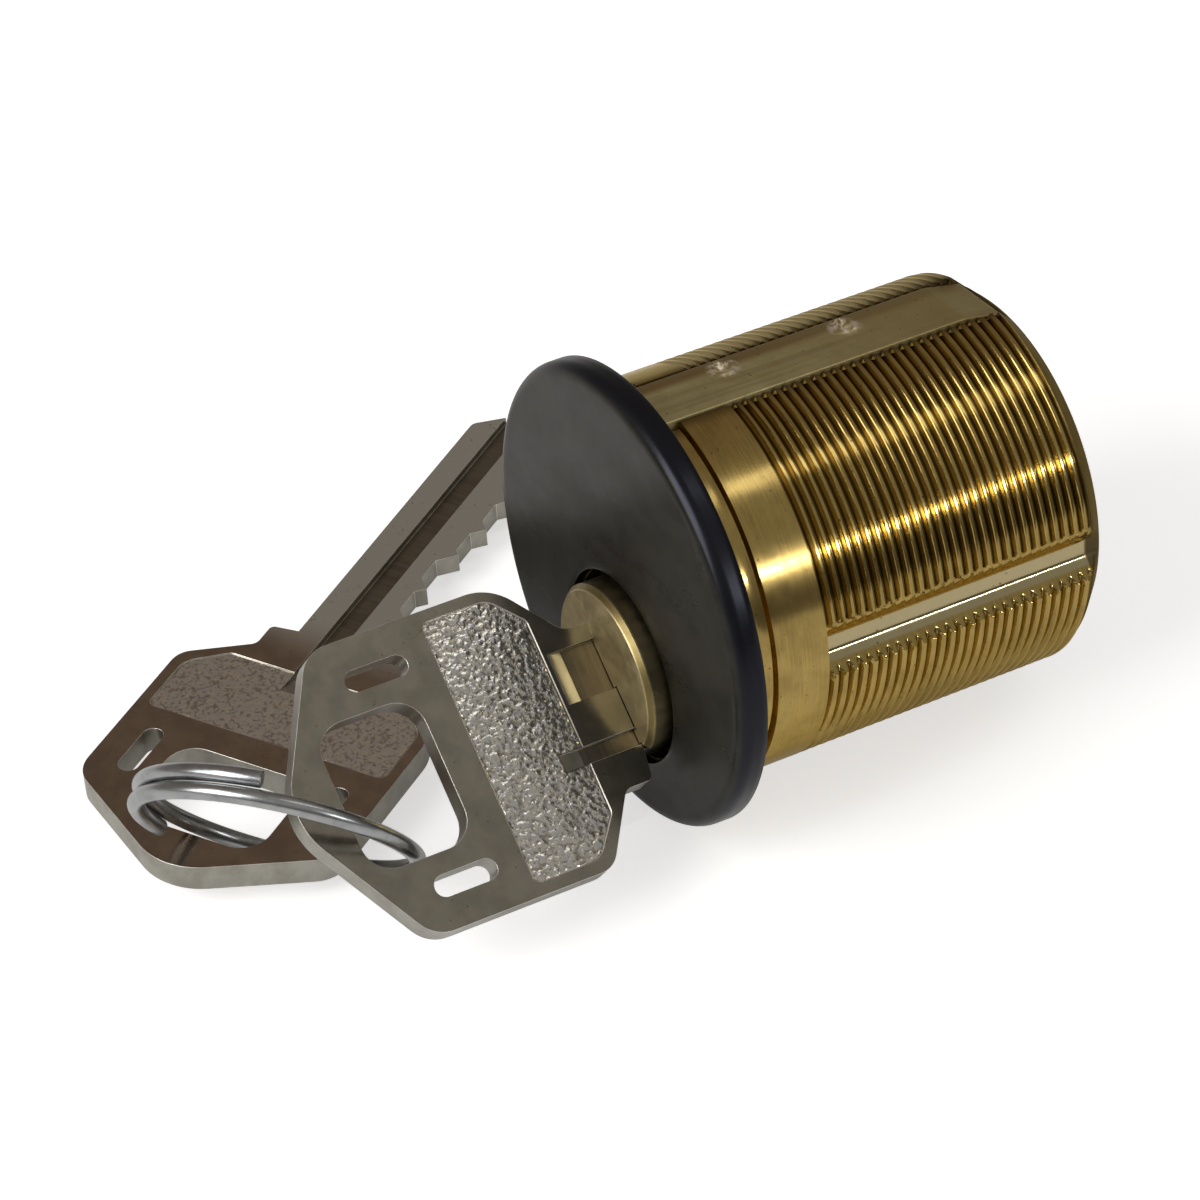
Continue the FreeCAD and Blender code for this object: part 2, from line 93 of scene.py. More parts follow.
BRASS_TINT = (1.0, 0.86, 0.55, 1.0)


def grid_piece(name, pts, wrap_rows=True, smooth_angle=40.0):
    """Mesh of quads over pts[row, column] in mm. Columns close on themselves, rows too if wrap_rows;
    else a fan of faces closes each end row. Faces are turned outward by the sign of the volume that
    they enclose."""
    rows, cols = pts.shape[:2]
    verts = pts.reshape(-1, 3) / 1000.0
    index = np.arange(rows * cols).reshape(rows, cols)
    last = rows if wrap_rows else rows - 1
    a = index[np.arange(last)]
    b = index[(np.arange(last) + 1) % rows]
    quads = np.stack([a, np.roll(a, -1, 1), np.roll(b, -1, 1), b], -1).reshape(-1, 4)
    p = verts[quads]
    volume = (np.einsum("ij,ij->i", p[:, 0], np.cross(p[:, 1], p[:, 2]))
              + np.einsum("ij,ij->i", p[:, 0], np.cross(p[:, 2], p[:, 3]))).sum()
    ends = [] if wrap_rows else [index[0], index[-1][::-1]]
    for end in ends:
        rim = verts[end]
        middle = np.broadcast_to(rim.mean(0), rim.shape)
        volume -= np.einsum("ij,ij->i", middle, np.cross(rim, np.roll(rim, -1, 0))).sum()
    faces = quads.tolist() + [end[::-1].tolist() for end in ends]
    if volume < 0:
        faces = [face[::-1] for face in faces]
    mesh = bpy.data.meshes.new(name)
    mesh.from_pydata(verts.tolist(), [], faces)
    mesh.polygons.foreach_set("use_smooth", np.ones(len(mesh.polygons), bool))
    mesh.set_sharp_from_angle(angle=math.radians(smooth_angle))
    mesh.update()
    piece = bpy.data.objects.new(name, mesh)
    bpy.context.scene.collection.objects.link(piece)
    return piece


def add(tree, kind, inputs=None, **settings):
    """New shader node. Each of its inputs is a constant or the socket that is linked to it."""
    node = tree.nodes.new(kind)
    for key, value in settings.items():
        setattr(node, key, value)
    for key, value in (inputs or {}).items():
        if isinstance(value, bpy.types.NodeSocket):
            tree.links.new(value, node.inputs[key])
        else:
            node.inputs[key].default_value = value
    return node


def maths(tree, operation, a, b=0.0):
    """One sum, such as a plus b, of two masks or numbers."""
    return add(tree, "ShaderNodeMath", {0: a, 1: b}, operation=operation).outputs[0]


def product(tree, first, *others):
    """The masks multiplied together."""
    for other in others:
        first = maths(tree, "MULTIPLY", first, other)
    return first


def away_from(tree, a, b):
    """Length of the side across a and b: the root of a squared plus b squared."""
    squares = maths(tree, "ADD", maths(tree, "MULTIPLY", a, a), maths(tree, "MULTIPLY", b, b))
    return maths(tree, "SQRT", squares)


def ramp(tree, value, lo, hi, out_lo=0.0, out_hi=1.0):
    """Smooth step of value from lo to hi."""
    ends = {"Value": value, "From Min": lo, "From Max": hi, "To Min": out_lo, "To Max": out_hi}
    return add(tree, "ShaderNodeMapRange", ends, interpolation_type="SMOOTHSTEP").outputs["Result"]


def mixed(tree, factor, a, b):
    """Colour a where factor is 0, b where it is 1."""
    node = tree.nodes.new("ShaderNodeMix")
    node.data_type = "RGBA"
    for socket, value in ((node.inputs[0], factor), (node.inputs[6], a), (node.inputs[7], b)):
        if isinstance(value, bpy.types.NodeSocket):
            tree.links.new(value, socket)
        else:
            socket.default_value = value if isinstance(value, float) else (*value, 1.0)
    return node.outputs[2]


def stretched(tree, vector, scale):
    """The vector with each of its axes multiplied by its own scale."""
    return add(tree, "ShaderNodeVectorMath", {0: vector, 1: scale}, operation="MULTIPLY").outputs[0]


def place_in_mm(tree):
    """Object coordinates in mm."""
    return stretched(tree, add(tree, "ShaderNodeTexCoord").outputs["Object"], (1000.0, 1000.0, 1000.0))


def axes(tree, vector):
    """The x, y and z of a vector."""
    return add(tree, "ShaderNodeSeparateXYZ", {0: vector}).outputs[:]


def noise(tree, vector, scale, detail=4.0, rough=0.55):
    """Cloudy noise around one half, scale lumps to a unit of the vector."""
    inputs = {"Vector": vector, "Scale": scale, "Detail": detail, "Roughness": rough}
    return add(tree, "ShaderNodeTexNoise", inputs).outputs[0]


def bumped(tree, height, strength, under=None, depth=0.00001):
    """Normal tilted by a height map of that depth in metres, over the normal under it if there is one."""
    inputs = {"Height": height, "Strength": strength, "Distance": depth}
    if under is not None:
        inputs["Normal"] = under
    return add(tree, "ShaderNodeBump", inputs).outputs[0]


def wear_group():
    """What handling leaves on any of these metals, at scales per mm. Mottle is a broad cloudy tarnish
    from 0 to 1, Specks are small dark pits from 0 to 1 where a slower noise is high, and Grain is a
    fine unevenness for a bump."""
    group = bpy.data.node_groups.new("wear", "ShaderNodeTree")
    for socket in ("Mottle Scale", "Speck Scale", "Grain Scale"):
        group.interface.new_socket(socket, in_out="INPUT", socket_type="NodeSocketFloat")
    for socket in ("Mottle", "Specks", "Grain"):
        group.interface.new_socket(socket, in_out="OUTPUT", socket_type="NodeSocketFloat")
    scale = group.nodes.new("NodeGroupInput").outputs
    mm = place_in_mm(group)
    cloud = noise(group, mm, scale["Mottle Scale"], 6.0, 0.62)
    pit = {"Vector": mm, "Scale": scale["Speck Scale"], "Randomness": 1.0}
    pit = add(group, "ShaderNodeTexVoronoi", pit).outputs["Distance"]
    patches = ramp(group, noise(group, mm, 0.8, 2.0), 0.52, 0.62)
    add(group, "NodeGroupOutput", {
        "Mottle": ramp(group, cloud, 0.36, 0.66),
        "Specks": product(group, ramp(group, pit, 0.10, 0.19, 1.0, 0.0), patches),
        "Grain": noise(group, mm, scale["Grain Scale"], 2.0, 0.5)})
    return group


wear = wear_group()


def worn(tree, mottle=0.42, speck=1.9, grain=4.0):
    """The wear group placed in a material: its mottle, specks and grain."""
    scales = {"Mottle Scale": mottle, "Speck Scale": speck, "Grain Scale": grain}
    return add(tree, "ShaderNodeGroup", scales, node_tree=wear).outputs[:]


def metal(name):
    """A new material, its node tree and its Principled shader."""
    mat = bpy.data.materials.new(name)
    mat.use_nodes = True
    tree = mat.node_tree
    tree.nodes.clear()
    shader = add(tree, "ShaderNodeBsdfPrincipled", {"Metallic": 1.0})
    add(tree, "ShaderNodeOutputMaterial", {0: shader.outputs[0]})
    return mat, tree, shader


def finish(tree, shader, colour, rough, normal=None):
    """Gives the shader its colour, roughness and, if there is one, its bumped normal."""
    tree.links.new(colour, shader.inputs["Base Color"])
    if normal is not None:
        tree.links.new(normal, shader.inputs["Normal"])
    if isinstance(rough, float):
        shader.inputs["Roughness"].default_value = rough
    else:
        tree.links.new(rough, shader.inputs["Roughness"])


front_rows = [
    (SEAT_Y, BORE_R, BORE_Z), (SEAT_Y, SEAT_R, BORE_Z),
    (FACE_Y + BREAK, SEAT_R, BORE_Z), (FACE_Y, SEAT_R + BREAK, BORE_Z),
    (FACE_Y, FLANGE_R - FLANGE_CHAMFER, 0), (FACE_Y + FLANGE_CHAMFER, FLANGE_R, 0),
    (-BREAK, FLANGE_R, 0), (0.0, FLANGE_R - BREAK, 0),
    (0.0, RELIEF_R + BREAK, 0), (BREAK, RELIEF_R, 0), (0.7, RELIEF_R, 0), (1.4, RELIEF_R, 0),
    (RELIEF_END - 0.06, RELIEF_R, 0), (RELIEF_END - 0.02, RELIEF_R + 0.03, 0),
    (RELIEF_END, CREST - 0.085, 0), (RELIEF_END + 0.06, CREST, 0)]
smooth_y = np.linspace(2.6, 6.35, 14)

# One turn of the thread: steps rearward from the middle of its root, and radii.
thread_form = (
    (-0.035, ROOT), (0.035, ROOT), (0.235, CREST - 0.075), (0.285, CREST - 0.011),
    (0.397, CREST), (0.509, CREST - 0.011), (0.559, CREST - 0.075))
rear_rows = [
    (29.15, CREST, 0), (29.4, CREST, 0), (SHANK_END, REAR_R + BREAK, 0), (SHANK_END, REAR_R - BREAK, 0),
    (SHANK_END, BORE_R + BREAK, BORE_Z), (SHANK_END - BREAK, BORE_R, BORE_Z), (15.0, BORE_R, BORE_Z)]
thread_rows = [(FIRST_ROOT + turn * PITCH + step, r, 0)
               for turn in range(THREAD_TURNS) for step, r in thread_form]
thread_rows = [row for row in thread_rows if row[0] < THREAD_END]
shell_rows = np.array(front_rows + [(y, CREST, 0) for y in smooth_y] + thread_rows + rear_rows, float)

# The share of a pitch that each row moves in one turn: none at the front, all of
# it along the thread, eased in before the thread and out after it.
shear = np.concatenate([
    np.zeros(len(front_rows)), np.clip((smooth_y - 3.0) / 3.2, 0, 1), np.ones(len(thread_rows)),
    [0.6, 0.25], np.zeros(len(rear_rows) - 2)])

# Columns, in degrees round the axis: where a groove or the channel has a corner,
# and evenly between.
groove_columns = [1.45, 1.75, 2.05, 2.35, 2.65, 2.95, 3.25, 3.55, 7.95, 8.10, GROOVE_EDGE]
channel_columns = [78.60, 78.97]
corners = np.array(groove_columns + channel_columns)
corners = np.sort(np.concatenate([corners, 180 - corners]))
corners = np.concatenate([corners, -corners[(corners < 30) | (corners > 150)]])
even = np.arange(-179.6, 180.0, 0.92)
even = even[np.abs(even[:, None] - corners[None, :]).min(1) > 0.30]
even = even[np.abs(np.abs(even) - 180.0) > 1.45]
shell_theta = np.radians(np.sort(np.concatenate([even, corners])))


def shell_surface(rows, shear, theta):
    """Row k is a circle at its own y, moved forward by a pitch in each turn round the axis where the
    thread is cut, eased to nothing inside the left groove, where the turn's two ends meet. Its radius
    has a faint swell and is cut back to the rear chamfer, to the flat channel along the top and to
    the flat bed and sloped sides of the two set-screw grooves. The right groove's edges have burrs."""
    ease = np.clip((176.0 - np.abs(np.degrees(theta))) / 4.0, 0, 1)
    y = rows[:, 0][:, None] - PITCH * (theta * ease)[None, :] / (2 * math.pi) * shear[:, None]
    r = np.repeat(rows[:, 1][:, None], len(theta), 1)
    outer = (rows[:, 2] == 0)[:, None] & (rows[:, 0] > -0.001)[:, None]
    shank = outer & (y > 2.0)
    swell = SWELL * np.sin(3 * theta)[None, :] * np.sin(y * 1.7)
    r = np.where(shank, r + swell, r)
    r = np.where(shank & (y > CHAMFER_Y), np.minimum(r, CREST - (y - CHAMFER_Y)), r)
    c, s = np.cos(theta)[None, :], np.sin(theta)[None, :]
    channel = CHANNEL_Z / np.maximum(s, 0.2)
    under_strip = outer & (rows[:, 1] < FLANGE_R - 1)[:, None] & (s > math.sin(math.radians(CHANNEL_EDGE)))
    r = np.where(under_strip, np.minimum(r, channel), r)
    across, up = np.abs(c), np.abs(s)
    milled = GROOVE_BED / np.maximum(across, 0.2)
    for _ in range(6):
        over = np.maximum(milled * up - GROOVE_BED_HALF, 0.0)
        rise = np.where(over < GROOVE_EASE, over ** 2 / (2 * GROOVE_EASE), over - GROOVE_EASE / 2)
        milled = (GROOVE_BED + GROOVE_SLOPE * rise) / np.maximum(across, 0.2)
    in_groove = shank & (y > GROOVE_FRONT)
    r = np.where(in_groove & (up < math.sin(math.radians(GROOVE_REACH))), np.minimum(r, milled), r)
    off_edge = np.degrees(np.arcsin(up)) - GROOVE_EDGE
    burr = np.exp(-(off_edge / BURR_WIDTH) ** 2) * in_groove * (y < CHAMFER_Y) * (c > 0)
    r = r + BURR * burr * rng.uniform(-0.6, 1.0, y.shape)
    return np.stack([r * c, y + 0 * c, rows[:, 2][:, None] + r * s], -1)


def drilled(piece, holes, radius, low, high):
    """Cuts one upright round hole for each y of holes out of the piece's mesh, between two heights."""
    bm = bmesh.new()
    for y in holes:
        place = Matrix.Translation((0, y / 1000, (low + high) / 2000))
        bmesh.ops.create_cone(bm, cap_ends=True, segments=48, radius1=radius / 1000, radius2=radius / 1000,
                              depth=(high - low) / 1000, matrix=place)
    drill_mesh = bpy.data.meshes.new("drill")
    bm.to_mesh(drill_mesh)
    bm.free()
    drill = bpy.data.objects.new("drill", drill_mesh)
    bpy.context.scene.collection.objects.link(drill)
    cut = piece.modifiers.new("cut", "BOOLEAN")
    cut.object = drill
    cut.operation = "DIFFERENCE"
    cut.solver = "MANIFOLD"
    bpy.context.view_layer.update()
    whole = piece.data
    piece.data = bpy.data.meshes.new_from_object(piece.evaluated_get(bpy.context.evaluated_depsgraph_get()))
    piece.modifiers.clear()
    bpy.data.objects.remove(drill)
    bpy.data.meshes.remove(drill_mesh)
    bpy.data.meshes.remove(whole)
    piece.data.materials.clear()
    piece.data.polygons.foreach_set("material_index", [0] * len(piece.data.polygons))
    piece.data.set_sharp_from_angle(angle=math.radians(38.0))


def turned_brass():
    """Cloudy brass with fine turning lines, grime and painted shade in the thread's roots, heavier towards
    the top, a painted reflection on the set-screw grooves' beds, painted shade along both sides of the
    chamber cover, up the upper left side, in the bore and round the plug's seat, and darker brass behind
    the chamfer."""
    mat, tree, shader = metal("shell_brass")
    mottle, specks, grain = worn(tree)
    mm = place_in_mm(tree)
    x, y, z = axes(tree, mm)
    aside, height = maths(tree, "ABSOLUTE", x), maths(tree, "ABSOLUTE", z)
    radius = away_from(tree, x, z)
    turning = noise(tree, stretched(tree, mm, (0.04, 1.0, 0.04)), 9.0, 3.0, 0.6)
    colour = mixed(tree, mottle, (0.45, 0.325, 0.112), (0.34, 0.24, 0.080))
    colour = mixed(tree, ramp(tree, turning, 0.35, 0.75, 0.0, 0.55), colour, (0.58, 0.41, 0.12))
    # Grime and painted shade: the thread's roots are darkened, more so towards the top.
    root_dirt_and_shade = product(
        tree, ramp(tree, radius, 14.16, 14.42, 1.0, 0.0), ramp(tree, y, 6.0, 6.5),
        ramp(tree, height, 1.9, 2.1), ramp(tree, radius, 13.9, 14.02), ramp(tree, z, -6.0, 1.0, 0.35, 0.9))
    colour = mixed(tree, root_dirt_and_shade, colour, (0.085, 0.058, 0.020))
    # Painted reflection: the set-screw grooves' beds are lightened to a pale brass.
    bed = product(
        tree, ramp(tree, radius, 13.75, 13.95, 1.0, 0.0), ramp(tree, height, 1.95, 2.15, 1.0, 0.0),
        ramp(tree, y, 6.3, 6.6), 0.8)
    colour = mixed(tree, bed, colour, (0.52, 0.45, 0.27))
    # Painted shade: the bore and the seat round the plug are made nearly black.
    from_plug = away_from(tree, x, maths(tree, "ADD", z, -BORE_Z))
    bore_shade = product(tree, ramp(tree, from_plug, 7.3, 7.9, 1.0, 0.0), ramp(tree, y, 28.0, 29.0, 1.0, 0.0))
    colour = mixed(tree, bore_shade, colour, (0.02, 0.016, 0.012))
    colour = mixed(tree, ramp(tree, y, CHAMFER_Y, 28.3, 0.0, 0.9), colour, (0.07, 0.048, 0.02))
    # Painted shade: the upper left side is made darker and greyer.
    upper_left_shade = product(tree, ramp(tree, x, -3.4, -2.8, 0.85, 0.0), ramp(tree, z, 8.0, 11.0))
    colour = mixed(tree, upper_left_shade, colour, (0.29, 0.245, 0.15))
    # Painted shade: a dark band along both sides of the chamber cover.
    strip_side_shade = product(tree, ramp(tree, aside, 2.8, 4.2, 0.75, 0.0), ramp(tree, z, 12.5, 13.5))
    colour = mixed(tree, strip_side_shade, colour, (0.09, 0.06, 0.025))
    colour = mixed(tree, product(tree, specks, 0.8), colour, (0.06, 0.04, 0.02))
    normal = bumped(tree, grain, 0.05, bumped(tree, turning, 0.5))
    rough = ramp(tree, mottle, 0.0, 1.0, 0.11, 0.16)
    rough = maths(tree, "ADD", rough, ramp(tree, y, CHAMFER_Y, 28.3, 0.0, 0.35))
    rough = maths(tree, "ADD", rough, ramp(tree, y, 6.2, 6.7, 0.05, 0.0))
    finish(tree, shader, colour, rough, normal)
    shader.inputs["Specular Tint"].default_value = BRASS_TINT
    return mat


shell = grid_piece("cylinder_body_turned", shell_surface(shell_rows, shear, shell_theta), smooth_angle=38.0)
chambers = [sum(corner[1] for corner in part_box("driver_pin_%d" % i)) / 2 * 1000 for i in range(1, 6)]
drilled(shell, chambers, CHAMBER_R, CHAMBER_LOW, CHAMBER_HIGH)
shell.data.materials.append(turned_brass())
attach(shell, "shell")
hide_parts("cylinder_body")

# The head's cap is spun from thin sheet with a dark bronze finish. Its rim is
# rounded over the flange, its hole stands off centre round the plug.
CAP_FACE = -2.11
CAP_RIM = 1.05
CAP_FLAT_R = 16.07
CAP_R = CAP_FLAT_R + CAP_RIM
CAP_HOLE_R = 7.20
CAP_LIP_R = CAP_HOLE_R + 0.16
CAP_INSIDE_R = 16.37
CAP_INSIDE_Y = -1.37

hole_rows = [
    (CAP_INSIDE_Y, CAP_HOLE_R, BORE_Z), (CAP_FACE + 0.16, CAP_HOLE_R, BORE_Z),
    (CAP_FACE + 0.04, CAP_HOLE_R + 0.04, BORE_Z), (CAP_FACE, CAP_LIP_R, BORE_Z)]
face_rows = [(CAP_FACE, CAP_LIP_R + (CAP_FLAT_R - CAP_LIP_R) * share, BORE_Z * (1 - share))
             for share in np.linspace(0, 1, 26)[1:]]
rim_rows = [(CAP_FACE + CAP_RIM * (1 - math.cos(a)), CAP_FLAT_R + CAP_RIM * math.sin(a), 0)
            for a in np.radians(np.linspace(0, 90, 12))[1:]]
edge_rows = [
    (-0.55, CAP_R, 0), (-0.10, CAP_R, 0), (-0.03, CAP_R - 0.07, 0), (-0.03, CAP_INSIDE_R + 0.06, 0),
    (-0.07, CAP_INSIDE_R, 0), (-1.12, CAP_INSIDE_R, 0), (-1.30, CAP_INSIDE_R - 0.07, 0),
    (CAP_INSIDE_Y, CAP_INSIDE_R - 0.25, 0)]


def cap_surface(rows, theta):
    """Circles about the axis that slide off centre towards the plug's hole, the spun face moved in and
    out by a faint sum of sines of x and z."""
    rows = np.array(rows, float)
    c, s = np.cos(theta)[None, :], np.sin(theta)[None, :]
    y = np.repeat(rows[:, 0][:, None], len(theta), 1)
    x = rows[:, 1][:, None] * c
    z = rows[:, 2][:, None] + rows[:, 1][:, None] * s
    on_face = (rows[:, 0] < CAP_FACE + 0.01)[:, None]
    waves = np.sin(0.6 * x + 1.0) * np.cos(0.5 * z) + 0.6 * np.sin(1.3 * z - 0.7 * x)
    return np.stack([x, y + on_face * 0.006 * waves, z], -1)


def bronzed():
    """Dark bronze finish, cloudy, with a soft lighter streak of painted reflection across the face and a
    cooler rim.
    """
    mat, tree, shader = metal("dark_bronze")
    mottle, _, grain = worn(tree)
    mm = place_in_mm(tree)
    streak = noise(tree, stretched(tree, mm, (0.35, 1.0, 1.0)), 0.30, 2.0, 0.5)
    colour = mixed(tree, mottle, (0.042, 0.041, 0.036), (0.031, 0.030, 0.026))
    # Painted reflection: a soft lighter streak across the face.
    colour = mixed(tree, ramp(tree, streak, 0.45, 0.70, 0.0, 0.16), colour, (0.085, 0.074, 0.060))
    colour = mixed(tree, ramp(tree, axes(tree, mm)[1], -2.08, -1.7), colour, (0.020, 0.021, 0.028))
    finish(tree, shader, colour, ramp(tree, streak, 0.3, 0.7, 0.26, 0.36), bumped(tree, grain, 0.03))
    shader.inputs["Metallic"].default_value = 0.85
    return mat


cap_theta = np.radians(np.arange(0, 360, 1.25))
cap_shape = cap_surface(hole_rows + face_rows + rim_rows + edge_rows, cap_theta)
cap = grid_piece("head_cap_spun", cap_shape, smooth_angle=50.0)
cap.data.materials.append(bronzed())
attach(cap, "shell")
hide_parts("head_cap")

# The chamber cover is a flat brass strip pressed into its channel over the
# springs, filed off at the rear end and held by two punch marks.
STRIP_TOP = 14.353
STRIP_UNDER = 13.453
STRIP_HALF = 2.70
STRIP_FRONT = 0.03
STRIP_REAR = 28.55
FILED_Y = 25.6
FILED_DEPTH = 0.62
PUNCH_X = -1.30
PUNCH_Y = (8.30, 18.10)
LIP_R = 0.72
LIP_HEIGHT = 0.21
DENT_R = 0.36
DENT_DEPTH = 0.26
SCORE_X = 1.25
SCORE_DEPTH = 0.014


def strip_surface():
    """Sections across the strip, one for each y: the underside, two sides with small rounded corners
    and a top whose height is the flat less the slope at the rear end, plus a raised ring round a dent
    for each punch mark, less a fine scored line."""
    y = np.concatenate([
        [STRIP_FRONT, 0.05, 0.09], np.arange(0.2, 28.45, 0.13), [28.50, 28.54, STRIP_REAR]])
    x = np.concatenate([
        [-STRIP_HALF, -2.685, -2.64], np.arange(-2.56, 2.57, 0.128), [2.64, 2.685, STRIP_HALF]])
    X, Y = np.meshgrid(x, y)
    top = STRIP_TOP - FILED_DEPTH * np.clip((Y - FILED_Y) / (STRIP_REAR - FILED_Y), 0, 1)
    relief = np.zeros_like(X)
    for punch_y in PUNCH_Y:
        dx, dy = X - PUNCH_X, Y - punch_y
        out = np.hypot(dx, dy * 0.92)
        turn = np.arctan2(dy, dx)
        lip_r = LIP_R + 0.12 * np.sin(3 * turn + punch_y) + 0.05 * np.sin(7 * turn)
        lip = 0.7 + 0.3 * np.sin(2 * turn + 1.1) + 0.25 * np.sin(5 * turn + PUNCH_X)
        relief += LIP_HEIGHT * np.exp(-((out - lip_r) / 0.20) ** 2) * lip
        relief -= DENT_DEPTH * np.exp(-(out / DENT_R) ** 2)
        relief += 0.05 * np.exp(-(out / 0.9) ** 2) * np.sin(6.1 * dx + 1.3) * np.sin(5.3 * dy)
    relief -= SCORE_DEPTH * np.exp(-((X - SCORE_X) / 0.05) ** 2)
    relief += 0.008 * np.sin(1.1 * Y + 0.8 * X) * np.cos(0.9 * X)
    side = np.interp(np.abs(X), [2.56, 2.64, 2.685, STRIP_HALF], [0, 0.012, 0.045, 0.09])
    end = np.interp(Y, [STRIP_FRONT, 0.05, 0.09, 0.2, 28.3, 28.50, 28.54, STRIP_REAR],
                    [0.06, 0.03, 0.006, 0, 0, 0.01, 0.04, 0.07])
    z = top + relief * (np.abs(X) < 2.5) - side - end
    ring_x = np.concatenate([X, np.repeat([[STRIP_HALF, -STRIP_HALF]], len(y), 0)], 1)
    ring_y = np.concatenate([Y, Y[:, :2]], 1)
    ring_z = np.concatenate([z, np.full((len(y), 2), STRIP_UNDER)], 1)
    return np.stack([ring_x, ring_y, ring_z], -1)


def drawn_brass():
    """Olive drawn strip: fine lines and slow bands along its length, painted shade darkening its left side,
    browner to the rear, with bare bright metal at the punch marks."""
    mat, tree, shader = metal("cover_brass")
    mottle, specks, grain = worn(tree)
    mm = place_in_mm(tree)
    x, y, _ = axes(tree, mm)
    drawn = noise(tree, stretched(tree, mm, (1.0, 0.06, 1.0)), 9.0, 5.0, 0.7)
    bands = noise(tree, stretched(tree, mm, (1.0, 0.035, 1.0)), 0.8, 2.0)
    colour = mixed(tree, mottle, (0.72, 0.64, 0.33), (0.60, 0.52, 0.25))
    colour = mixed(tree, ramp(tree, drawn, 0.4, 0.75, 0.0, 0.5), colour, (0.80, 0.73, 0.42))
    # Painted shade: darker brown down the strip's left side.
    colour = mixed(tree, ramp(tree, x, -1.9, -0.9, 0.9, 0.0), colour, (0.33, 0.22, 0.08))
    colour = mixed(tree, ramp(tree, y, 6.0, 28.0, 0.0, 0.75), colour, (0.46, 0.36, 0.14))
    colour = mixed(tree, ramp(tree, bands, 0.40, 0.56, 0.55, 0.0), colour, (0.42, 0.33, 0.15))
    colour = mixed(tree, product(tree, specks, 0.7), colour, (0.05, 0.035, 0.02))
    near = []
    for punch_y in PUNCH_Y:
        ends = {0: mm, 1: (PUNCH_X, punch_y, 14.4)}
        gap = add(tree, "ShaderNodeVectorMath", ends, operation="DISTANCE").outputs["Value"]
        near.append(ramp(tree, gap, 0.85, 1.45, 1.0, 0.0))
    bare = product(tree, maths(tree, "ADD", *near), ramp(tree, noise(tree, mm, 2.6, 3.0), 0.38, 0.6))
    colour = mixed(tree, bare, colour, (0.95, 0.86, 0.66))
    finish(tree, shader, colour, 0.42, bumped(tree, grain, 0.4, bumped(tree, drawn, 0.3)))
    return mat


strip = grid_piece("chamber_cover_strip", strip_surface(), wrap_rows=False, smooth_angle=34.0)
strip.data.materials.append(drawn_brass())
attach(strip, "shell")
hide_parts("chamber_cover")

# The plug is turned brass with a satin face and a bright bevel round it, and a
# broached keyway. Its edges are softened as a tumbled part's are.
PLUG_FACE = -3.49
SHARP = 30.0


def softened(name, source, width):
    """Copy of a CAD node's mesh with its loose triangles merged, its flat faces made whole and every
    sharp edge broken by a bevel of that width in mm."""
    bm = bmesh.new()
    bm.from_mesh(source.data)
    bm.transform(source.matrix_world)
    bmesh.ops.remove_doubles(bm, verts=bm.verts, dist=2e-6)
    bmesh.ops.dissolve_limit(bm, angle_limit=math.radians(0.6), verts=bm.verts, edges=bm.edges)
    bmesh.ops.recalc_face_normals(bm, faces=bm.faces)
    for face in bm.faces:
        face.smooth = True
        face.material_index = 0
    mesh = bpy.data.meshes.new(name)
    bm.to_mesh(mesh)
    bm.free()
    piece = bpy.data.objects.new(name, mesh)
    bpy.context.scene.collection.objects.link(piece)
    mesh.set_sharp_from_angle(angle=math.radians(SHARP))
    bevel = piece.modifiers.new("edges", "BEVEL")
    bevel.width = width / 1000.0
    bevel.segments = 2
    bevel.limit_method = "ANGLE"
    bevel.angle_limit = math.radians(SHARP)
    bevel.harden_normals = True
    return piece


def satin_brass():
    """Blotchy satin brass, deeper in colour on the bevel, with painted shade down its side and in the gap.
    """
    mat, tree, shader = metal("plug_brass")
    mottle, specks, grain = worn(tree)
    mm = place_in_mm(tree)
    y = axes(tree, mm)[1]
    blotch = noise(tree, mm, 1.3, 6.0, 0.7)
    colour = mixed(tree, mottle, (0.62, 0.52, 0.29), (0.50, 0.41, 0.23))
    colour = mixed(tree, ramp(tree, blotch, 0.5, 0.75, 0.0, 0.7), colour, (0.72, 0.62, 0.38))
    colour = mixed(tree, product(tree, specks, 0.6), colour, (0.05, 0.04, 0.03))
    bevel = product(tree, ramp(tree, y, PLUG_FACE, PLUG_FACE + 0.09), ramp(tree, y, -3.2, -3.0, 1.0, 0.0))
    colour = mixed(tree, bevel, colour, (0.24, 0.185, 0.075))
    # Painted shade: darker down the nose's side and nearly black in the gap inside the shell.
    colour = mixed(tree, ramp(tree, y, -3.10, -2.95, 0.0, 0.85), colour, (0.10, 0.085, 0.045))
    colour = mixed(tree, ramp(tree, y, -1.6, -0.6), colour, (0.02, 0.016, 0.012))
    finish(tree, shader, colour, ramp(tree, blotch, 0.3, 0.7, 0.34, 0.46), bumped(tree, grain, 0.5))
    return mat


plug = softened("plug_turned", nodes["plug"], width=0.07)
plug.data.materials.append(satin_brass())
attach(plug, "plug")
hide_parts("plug")

# Key pins and driver pins keep their CAD shapes. Each chamber spring is wound
# from steel wire, at its length at rest. Only a cutaway shows them.
SPRING_TURNS = 9.0
SPRING_R = 1.10
SPRING_WIRE = 0.16
SPRING_START = math.radians(80.0)


def plain_metal(name, clean, dull, rough):
    """Cloudy metal between two colours."""
    mat, tree, shader = metal(name)
    finish(tree, shader, mixed(tree, worn(tree)[0], clean, dull), rough)
    return mat


